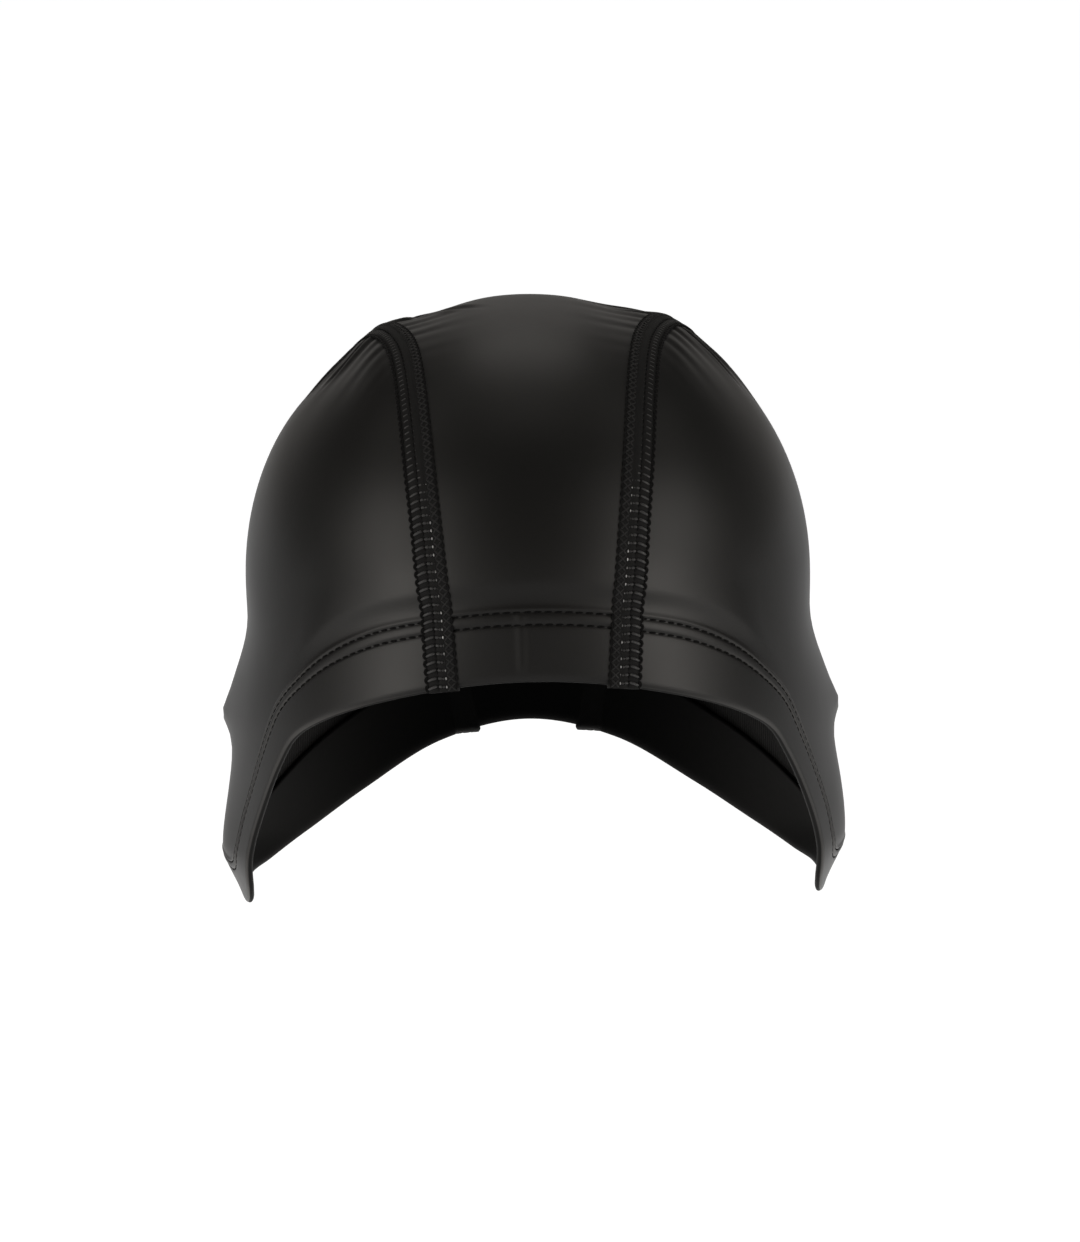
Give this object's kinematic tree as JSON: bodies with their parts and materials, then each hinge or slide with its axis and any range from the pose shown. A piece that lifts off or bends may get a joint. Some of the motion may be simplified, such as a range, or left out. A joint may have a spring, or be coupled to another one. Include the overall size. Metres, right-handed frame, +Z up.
{
  "type": "fabric swim cap",
  "caption": "Close-fitting panelled fabric swim cap with a turned-up elastic hem and low sides over the ears, in the shape it takes when worn.",
  "frame": {"origin": "inside of the cloth at the crown, where the top of a head bears", "axes": "+Z up, -Y towards the face, +X towards the wearer's left"},
  "size_m": [0.1738, 0.1971, 0.1654],
  "materials": {
    "coated_cloth": "satin polyurethane-coated stretch knit, near black",
    "hem_cloth": "the same coated knit turned up over an elastic, near black",
    "seam_thread": "matt black textured polyester thread"
  },
  "bodies": {
    "root": {"centre_panel": "coated_cloth", "left_side_panel": "coated_cloth", "right_side_panel": "coated_cloth", "front_hem": "hem_cloth", "back_hem": "hem_cloth", "left_side_hem": "hem_cloth", "right_side_hem": "hem_cloth", "left_seam": "seam_thread", "right_seam": "seam_thread"}
  },
  "joints": []
}
